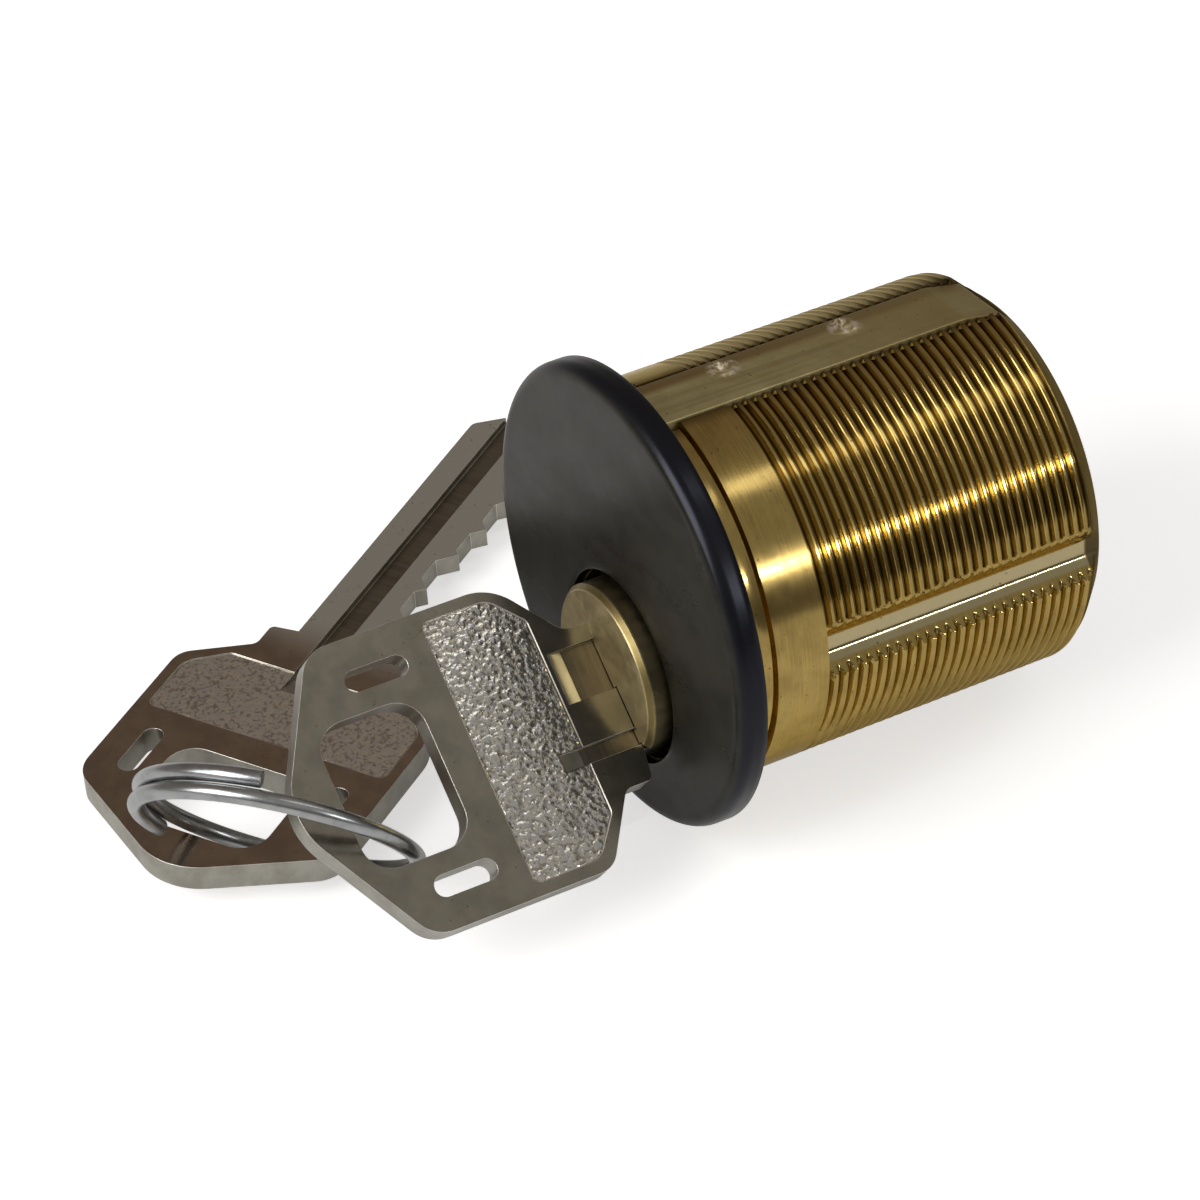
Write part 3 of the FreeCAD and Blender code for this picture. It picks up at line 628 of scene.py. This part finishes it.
def spring_surface(y, low, high):
    """A circle of the wire carried along nine turns of a helix between two heights, square to its path."""
    a = SPRING_START + np.linspace(0, 2 * math.pi * SPRING_TURNS, 325)
    z = np.linspace(low + SPRING_WIRE, high - SPRING_WIRE, len(a))
    climb = (z[-1] - z[0]) / (2 * math.pi * SPRING_TURNS)
    out = np.stack([np.cos(a), np.sin(a), 0 * a], -1)
    along = np.stack([-SPRING_R * np.sin(a), SPRING_R * np.cos(a), 0 * a + climb], -1)
    along /= np.linalg.norm(along, axis=1)[:, None]
    across = np.cross(along, out)
    centre = SPRING_R * out + np.stack([0 * a, 0 * a + y, z], -1)
    p = np.linspace(0, 2 * math.pi, 12, endpoint=False)[None, :, None]
    return centre[:, None] + SPRING_WIRE * (np.cos(p) * out[:, None] + np.sin(p) * across[:, None])


pin_brass = plain_metal("pin_brass", (0.55, 0.40, 0.15), (0.42, 0.29, 0.10), 0.25)
spring_steel = plain_metal("spring_steel", (0.42, 0.42, 0.43), (0.30, 0.30, 0.31), 0.25)
for i in range(1, 6):
    for kind in ("key_pin", "driver_pin"):
        for slot in nodes["%s_%d" % (kind, i)].material_slots:
            slot.link = "OBJECT"
            slot.material = pin_brass
    low, high = (np.array(corner) * 1000 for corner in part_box("driver_spring_%d" % i))
    coil = spring_surface((low[1] + high[1]) / 2, low[2], high[2])
    spring = grid_piece("wound_spring_%d" % i, coil, wrap_rows=False)
    spring.data.materials.append(spring_steel)
    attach(spring, "shell")
    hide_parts("driver_spring_%d" % i)
    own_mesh(spring)

# The cam is a steel plate punched with a tail and held on the plug's rear end
# by two slotted round-headed screws.


def rolled_steel():
    """Cloudy sheet steel with rolling lines down its length."""
    mat, tree, shader = metal("cam_steel")
    mottle, _, grain = worn(tree)
    rolled = noise(tree, stretched(tree, place_in_mm(tree), (1.0, 1.0, 0.15)), 3.0, 5.0, 0.7)
    colour = mixed(tree, mottle, (0.40, 0.385, 0.36), (0.30, 0.285, 0.26))
    colour = mixed(tree, ramp(tree, rolled, 0.5, 0.75, 0.0, 0.5), colour, (0.50, 0.48, 0.45))
    finish(tree, shader, colour, 0.36, bumped(tree, grain, 0.4))
    return mat


cam = softened("cam_plate", nodes["cam"], width=0.15)
cam.data.materials.append(rolled_steel())
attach(cam, "plug")
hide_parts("cam")
screw_steel = plain_metal("screw_steel", (0.34, 0.33, 0.32), (0.24, 0.23, 0.22), 0.3)
for i in (1, 2):
    screw = softened("cam_screw_%d_head" % i, nodes["cam_screw_%d" % i], width=0.10)
    screw.data.materials.append(screw_steel)
    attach(screw, "plug")
    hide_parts("cam_screw_%d" % i)

# Both keys are stamped from nickel-plated brass: a bow with a window for the
# ring and two slots, a stippled panel on each face, a blade with milled grooves
# and five cuts. The grooves show the brass.
TURN = math.radians(47.0)

# A key's frame is its origin at the shoulder, the direction from there to the
# bow's end, the direction across the bow, and the body that it rides on.
KEY_FRAMES = {
    "key": ((0.0, -3.52, BORE_Z), (0.0, -1.0, 0.0), (math.sin(TURN), 0.0, -math.cos(TURN)), "plug"),
    "spare_key": (
        (-21.085, -11.693, -13.414), (0.5278, -0.8414, -0.1160), (-0.8408, -0.5369, 0.0691), "spare")}
PLANE_SCALE = 100.0
PANEL_LEVEL = 0.95
GROOVE_LEVEL = 0.75
BOW_START = 3.0
PLATE, PANEL, MILLED, EDGE, SIDE = range(5)
STIPPLE_STEP = 0.165
STIPPLE_HEIGHT = 0.027


def key_plane(tree):
    """The key's own UV map: its length and width in hundreds of mm."""
    return add(tree, "ShaderNodeUVMap", uv_map="key_plane").outputs[0]


def key_plane_in_mm(tree):
    """The same in mm."""
    return stretched(tree, key_plane(tree), (PLANE_SCALE, PLANE_SCALE, 1.0))


def nickel_plate(name, clean, dull, blade):
    """Handled nickel: cloudy between two colours on the bow, another colour on the blade, brown in
    blotches, with small dark pits."""
    mat, tree, shader = metal(name)
    mottle, specks, grain = worn(tree)
    blotch = noise(tree, place_in_mm(tree), 0.9, 5.0, 0.65)
    along = axes(tree, key_plane(tree))[0]
    colour = mixed(tree, mottle, clean, dull)
    colour = mixed(tree, ramp(tree, along, -0.02, 0.03, 1.0, 0.0), colour, blade)
    colour = mixed(tree, ramp(tree, blotch, 0.58, 0.78, 0.0, 0.35), colour, (0.30, 0.23, 0.16))
    colour = mixed(tree, product(tree, specks, 0.6), colour, (0.16, 0.09, 0.05))
    finish(tree, shader, colour, ramp(tree, blotch, 0.3, 0.7, 0.15, 0.20), bumped(tree, grain, 0.15))
    return mat


def stippled_nickel():
    """Rough nickel of the panels, with painted shade where its relief lies low."""
    mat, tree, shader = metal("key_stipple")
    plane = key_plane_in_mm(tree)
    tint = ramp(tree, noise(tree, plane, 1.7, 2.0, 0.6), 0.40, 0.60)
    colour = mixed(tree, tint, (0.74, 0.71, 0.61), (0.68, 0.66, 0.64))
    relief = add(tree, "ShaderNodeAttribute", attribute_name="relief").outputs["Fac"]
    # Painted shade: the stipple's low points are darkened.
    colour = mixed(tree, ramp(tree, relief, 0.0, 0.60, 0.75, 0.0), colour, (0.26, 0.215, 0.165))
    finish(tree, shader, colour, 0.18, bumped(tree, noise(tree, plane, 3.0, 2.0, 0.5), 0.6, depth=0.00006))
    return mat


def milled_grooves():
    """Worn brass of the blade's grooves, darkened as painted shade, with the cutter's marks along them."""
    mat, tree, shader = metal("key_milled")
    marks = noise(tree, stretched(tree, key_plane_in_mm(tree), (1.0, 0.05, 1.0)), 3.0, 2.0, 0.5)
    # Painted shade: the grooves' brass is darkened.
    colour = mixed(tree, worn(tree)[0], (0.21, 0.185, 0.145), (0.17, 0.15, 0.115))
    colour = mixed(tree, ramp(tree, marks, 0.4, 0.7, 0.0, 0.5), colour, (0.27, 0.235, 0.175))
    finish(tree, shader, colour, 0.3, bumped(tree, marks, 0.5))
    return mat


def blanked_sides():
    """The sides that the blanking die cut: cloudy and slightly uneven."""
    mat, tree, shader = metal("key_side")
    mottle, _, grain = worn(tree)
    colour = mixed(tree, mottle, (0.44, 0.43, 0.38), (0.34, 0.325, 0.28))
    finish(tree, shader, colour, 0.3, bumped(tree, grain, 0.5, depth=0.00002))
    return mat


def key_faces(mesh, local, thickness_axis):
    """Which finish each face of a key takes, from its level in the key's own frame."""
    finishes = []
    for face in mesh.polygons:
        pts = local[list(face.vertices)]
        depth = np.abs(pts[:, 2])
        level = abs(np.dot(np.array(face.normal), thickness_axis)) > 0.99
        if level and np.all(np.abs(depth - PANEL_LEVEL) < 0.02) and pts[:, 0].mean() > BOW_START:
            finishes.append(PANEL)
        elif level and depth.max() < GROOVE_LEVEL:
            finishes.append(MILLED)
        else:
            finishes.append(PLATE if level else SIDE)
    return finishes


def jittered(rim):
    """Points of a square grid inside the outline rim, each shifted at random by up to 0.3 of a step and
    none within half a step of the outline. A point is inside where a ray crosses the outline an odd
    number of times."""
    lo, hi = rim.min(0), rim.max(0)
    u, v = np.meshgrid(np.arange(lo[0], hi[0], STIPPLE_STEP), np.arange(lo[1], hi[1], STIPPLE_STEP))
    points = np.stack([u.ravel(), v.ravel()], -1)
    points += rng.uniform(-0.3, 0.3, points.shape) * STIPPLE_STEP
    run = np.roll(rim, -1, 0) - rim
    to = points[:, None] - rim[None]
    share = np.clip((to * run).sum(-1) / np.maximum((run ** 2).sum(-1), 1e-12), 0, 1)
    clear = np.linalg.norm(to - share[..., None] * run, axis=-1).min(1) > 0.5 * STIPPLE_STEP
    crosses = (rim[:, 1] > points[:, 1:]) != (np.roll(rim, -1, 0)[:, 1] > points[:, 1:])
    rise = np.where(run[:, 1] == 0, 1e-12, run[:, 1])
    at = rim[:, 0] + (points[:, 1:] - rim[:, 1]) * run[:, 0] / rise
    inside = (crosses & (points[:, :1] < at)).sum(1) % 2 == 1
    return points[clear & inside]


def stippled(bm, face, origin, along, across):
    """Fills the face anew with triangles between jittered points, each raised or sunk at random as a
    rough die leaves it. The rim stays. The vertex layer relief keeps the heights from 0 to 1."""
    relief = bm.verts.layers.float.get("relief") or bm.verts.layers.float.new("relief")
    plane = bm.loops.layers.uv["key_plane"]
    rim = list(face.verts)
    out = np.array(face.normal)
    level = out * ((np.array(rim[0].co) * 1000 - origin) @ out)
    outline = np.array([np.array(v.co) * 1000 - origin for v in rim]) @ np.stack([along, across], 1)
    points = [Vector(p) for p in np.concatenate([outline, jittered(outline)])]
    flat, _, triangles, source, _, _ = delaunay_2d_cdt(points, [], [list(range(len(rim)))], 1, 1e-7)
    verts = []
    for p, came in zip(flat, source):
        if came and came[0] < len(rim):
            verts.append(rim[came[0]])
            continue
        lift = rng.uniform(-1, 1)
        place = origin + p[0] * along + p[1] * across + level + out * lift * STIPPLE_HEIGHT
        verts.append(bm.verts.new(place / 1000))
        verts[-1][relief] = 0.5 + 0.5 * lift
    bmesh.ops.delete(bm, geom=[face], context="FACES_ONLY")
    turned = np.cross(along, across) @ out < 0
    for triangle in triangles:
        order = list(triangle)[::-1] if turned else list(triangle)
        new = bm.faces.new([verts[i] for i in order])
        new.material_index = PANEL
        new.smooth = True
        for loop, i in zip(new.loops, order):
            loop[plane].uv = flat[i] / PLANE_SCALE


# The two keys are one nickel plate in two copies whose colours differ as painted light: the spare's browner
# bow is a painted reflection of the dark room, and the key's dark blade, inside the plug, is painted shade.
nickels = {
    "key": nickel_plate(
        "key_nickel", clean=(0.36, 0.33, 0.27), dull=(0.30, 0.275, 0.22), blade=(0.17, 0.17, 0.155)),
    "spare_key": nickel_plate(
        "spare_key_nickel", clean=(0.36, 0.285, 0.22), dull=(0.29, 0.225, 0.17), blade=(0.70, 0.74, 0.70))}
panel_nickel = stippled_nickel()
groove_brass = milled_grooves()
# Painted highlight: the keys' bevelled edges get a near-white metal, lighter than the faces.
edge_highlight = plain_metal("key_edge_highlight", (0.95, 0.92, 0.84), (0.75, 0.71, 0.63), 0.42)
side_metal = blanked_sides()
for name, (origin, along, across, body) in KEY_FRAMES.items():
    piece = softened(name + "_blank", nodes[name], width=0.11)
    piece.modifiers["edges"].material = EDGE
    piece.modifiers["edges"].harden_normals = False
    mesh = piece.data
    for mat in (nickels[name], panel_nickel, groove_brass, edge_highlight, side_metal):
        mesh.materials.append(mat)
    origin, along, across = np.array(origin), np.array(along), np.array(across)
    through = np.cross(along, across)
    co = np.empty(len(mesh.vertices) * 3)
    mesh.vertices.foreach_get("co", co)
    local = (co.reshape(-1, 3) * 1000 - origin) @ np.stack([along, across, through], 1)
    loops = np.empty(len(mesh.loops), int)
    mesh.loops.foreach_get("vertex_index", loops)
    mesh.uv_layers.new(name="key_plane").data.foreach_set("uv", (local[loops, :2] / PLANE_SCALE).ravel())
    mesh.polygons.foreach_set("material_index", key_faces(mesh, local, through))
    bpy.context.view_layer.update()
    mesh = bpy.data.meshes.new_from_object(piece.evaluated_get(bpy.context.evaluated_depsgraph_get()))
    piece.modifiers.clear()
    piece.data = mesh
    bm = bmesh.new()
    bm.from_mesh(mesh)
    for face in [f for f in bm.faces if f.material_index == PANEL]:
        stippled(bm, face, origin, along, across)
    bm.to_mesh(mesh)
    bm.free()
    piece.modifiers.new("flat_faces", "WEIGHTED_NORMAL").keep_sharp = True
    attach(piece, body)
    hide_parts(name)

# The key ring is one and a third turns of round steel wire, cut square at both
# ends.
RING_R = 9.914
RING_WIRE = 0.625
RING_PITCH = 1.33
RING_MIDDLE = math.radians(86.9)
RING_HALF = 238.0
RING_CENTRE = np.array((-2.739, -28.246, -10.439))
RING_ACROSS = np.array((-0.8072, -0.0663, -0.5865))
RING_UP = np.array((0.3017, 0.8077, -0.5065))


def ring_surface():
    """A circle of the wire's radius carried along a helix, square to it, its end rows drawn in to leave
    a small chamfer."""
    axis = np.cross(RING_ACROSS, RING_UP)
    axis /= np.linalg.norm(axis)
    tip = np.array([RING_HALF - 0.4, RING_HALF, RING_HALF])
    swept = np.concatenate([-tip[::-1], np.linspace(1.5 - RING_HALF, RING_HALF - 1.5, 420), tip])
    thin = np.ones(len(swept))
    thin[[0, -1]] = 0.02
    thin[[1, -2]] = 0.86
    a = RING_MIDDLE + np.radians(swept)
    out = np.cos(a)[:, None] * RING_ACROSS + np.sin(a)[:, None] * RING_UP
    climb = RING_PITCH / (2 * math.pi)
    centre = RING_CENTRE + RING_R * out + (climb * np.radians(swept))[:, None] * axis
    along = RING_R * (-np.sin(a)[:, None] * RING_ACROSS + np.cos(a)[:, None] * RING_UP) + climb * axis
    along /= np.linalg.norm(along, axis=1)[:, None]
    across = np.cross(along, out)
    p = np.linspace(0, 2 * math.pi, 28, endpoint=False)[None, :, None]
    r = (RING_WIRE * thin)[:, None, None]
    return centre[:, None] + r * (np.cos(p) * out[:, None] + np.sin(p) * across[:, None])


def ring_wire_steel():
    """Bright wire, cloudy, with small dark pits."""
    mat, tree, shader = metal("ring_steel")
    mottle, specks, grain = worn(tree)
    colour = mixed(tree, mottle, (0.46, 0.475, 0.48), (0.33, 0.34, 0.35))
    colour = mixed(tree, product(tree, specks, 0.6), colour, (0.10, 0.08, 0.07))
    finish(tree, shader, colour, 0.27, bumped(tree, grain, 0.3))
    return mat


ring = grid_piece("key_ring_wire", ring_surface(), wrap_rows=False, smooth_angle=50.0)
ring.data.materials.append(ring_wire_steel())
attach(ring, "ring")
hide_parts("key_ring")

# The object lies on a white sheet that is tilted against the cylinder's axes.
# The sheet glows a little, so that its far part is white, and is seen through
# from below.
FLOOR_UP = Vector((0.1351, -0.0845, 0.9872)).normalized()
FLOOR_HALF = 2.5


def white_sheet():
    """White sheet. Towards the camera it glows more with distance, in reflections only near the
    object, and its back is transparent."""
    mat = bpy.data.materials.new("sheet")
    mat.use_nodes = True
    tree = mat.node_tree
    tree.nodes.clear()
    ray = tree.nodes.new("ShaderNodeLightPath").outputs
    place = add(tree, "ShaderNodeTexCoord").outputs["Object"]
    away = add(tree, "ShaderNodeVectorMath", {0: place}, operation="LENGTH").outputs["Value"]
    seen = maths(tree, "ADD", 0.60, ramp(tree, away, 0.15, 0.9, 0.0, 0.6))
    mirrored = ramp(tree, away, 0.05, 0.14, 0.14, 0.0)
    seen = product(tree, ray["Is Camera Ray"], seen)
    mirrored = product(tree, ray["Is Glossy Ray"], mirrored)
    glow = maths(tree, "ADD", seen, mirrored)
    glow = add(tree, "ShaderNodeEmission", {"Color": (1.0, 1.0, 1.0, 1.0), "Strength": glow})
    white = add(tree, "ShaderNodeBsdfDiffuse", {"Color": (0.86, 0.86, 0.86, 1.0)})
    front = add(tree, "ShaderNodeAddShader", {0: white.outputs[0], 1: glow.outputs[0]})
    back = add(tree, "ShaderNodeBsdfTransparent")
    below = add(tree, "ShaderNodeNewGeometry").outputs["Backfacing"]
    sheet = add(tree, "ShaderNodeMixShader", {0: below, 1: front.outputs[0], 2: back.outputs[0]})
    add(tree, "ShaderNodeOutputMaterial", {0: sheet.outputs[0]})
    return mat


bpy.context.view_layer.update()
floor_mesh = bpy.data.meshes.new("floor")
floor_corners = [(-FLOOR_HALF, -FLOOR_HALF, 0), (FLOOR_HALF, -FLOOR_HALF, 0),
                 (FLOOR_HALF, FLOOR_HALF, 0), (-FLOOR_HALF, FLOOR_HALF, 0)]
floor_mesh.from_pydata(floor_corners, [], [(0, 1, 2, 3)])
floor_mesh.materials.append(white_sheet())
floor = bpy.data.objects.new("floor", floor_mesh)
bpy.context.scene.collection.objects.link(floor)
floor.rotation_mode = "QUATERNION"
floor.rotation_quaternion = Vector((0, 0, 1)).rotation_difference(FLOOR_UP)
lowest = min(FLOOR_UP.dot(o.matrix_world @ v.co) for o in (shell, cap, ring) for v in o.data.vertices)
floor.location = FLOOR_UP * lowest

# The studio is a dim room that is lighter overhead, with a narrow strip light
# and a wide top light along the cylinder and a large soft fill in front of it.
scene = bpy.context.scene


def dim_room():
    """World colour by direction: horizon to overhead by height, each dimmer or lighter from left to
    right. The camera sees plain white instead."""
    world = bpy.data.worlds.new("studio")
    world.use_nodes = True
    tree = world.node_tree
    tree.nodes.clear()
    to = add(tree, "ShaderNodeTexCoord").outputs["Generated"]
    both = {0: to, 1: tuple(FLOOR_UP)}
    up = add(tree, "ShaderNodeVectorMath", both, operation="DOT_PRODUCT").outputs["Value"]
    right = axes(tree, to)[0]
    horizon = mixed(tree, ramp(tree, right, -0.9, 0.9), (0.17, 0.16, 0.15), (0.11, 0.105, 0.10))
    overhead = mixed(tree, ramp(tree, right, -0.6, 0.6), (0.22, 0.18, 0.155), (0.34, 0.33, 0.31))
    room = mixed(tree, ramp(tree, up, 0.15, 0.65), horizon, overhead)
    camera_ray = tree.nodes.new("ShaderNodeLightPath").outputs["Is Camera Ray"]
    colour = mixed(tree, camera_ray, room, (1.0, 1.0, 1.0))
    background = add(tree, "ShaderNodeBackground", {"Color": colour, "Strength": 1.0})
    add(tree, "ShaderNodeOutputWorld", {0: background.outputs[0]})
    return world


def softbox(name, direction, distance, width, height, power):
    """A rectangular light at that direction from the object, facing it, its width along the cylinder."""
    data = bpy.data.lights.new(name, "AREA")
    data.shape = "RECTANGLE"
    data.size, data.size_y = width, height
    data.energy = power
    lamp = bpy.data.objects.new(name, data)
    z = Vector(direction).normalized()
    x = (Vector((0, 1, 0)) - z * z.y).normalized()
    y = z.cross(x)
    lamp.matrix_world = Matrix([[x[i], y[i], z[i], z[i] * distance] for i in range(3)] + [[0, 0, 0, 1]])
    scene.collection.objects.link(lamp)


scene.world = dim_room()
softbox("strip_light", (0.857, 0.381, 0.346), distance=0.6, width=0.16, height=0.014, power=0.40)
softbox("top_light", (0.306, 0.381, 0.872), distance=0.7, width=0.40, height=0.10, power=0.20)
softbox("fill_light", (0.10, -0.85, 0.52), distance=0.9, width=0.6, height=0.6, power=5.0)

# The camera's place and focal length are those that line the thread's crests
# and the head's outline up with the photograph.
CAMERA_RIGHT = (0.49068, 0.86881, -0.06641)
CAMERA_UP = (-0.44687, 0.31634, 0.83680)
CAMERA_BACK = (0.74802, -0.38092, 0.54347)
CAMERA_AT = (0.254006, -0.132680, 0.184894)
lens = bpy.data.cameras.new("camera")
lens.lens = 146.49
lens.sensor_width = 36.0
lens.clip_start = 0.01
camera = bpy.data.objects.new("camera", lens)
scene.collection.objects.link(camera)
camera.matrix_world = Matrix([*zip(CAMERA_RIGHT, CAMERA_UP, CAMERA_BACK, CAMERA_AT), (0, 0, 0, 1)])
scene.camera = camera
scene.view_settings.view_transform = "Standard"
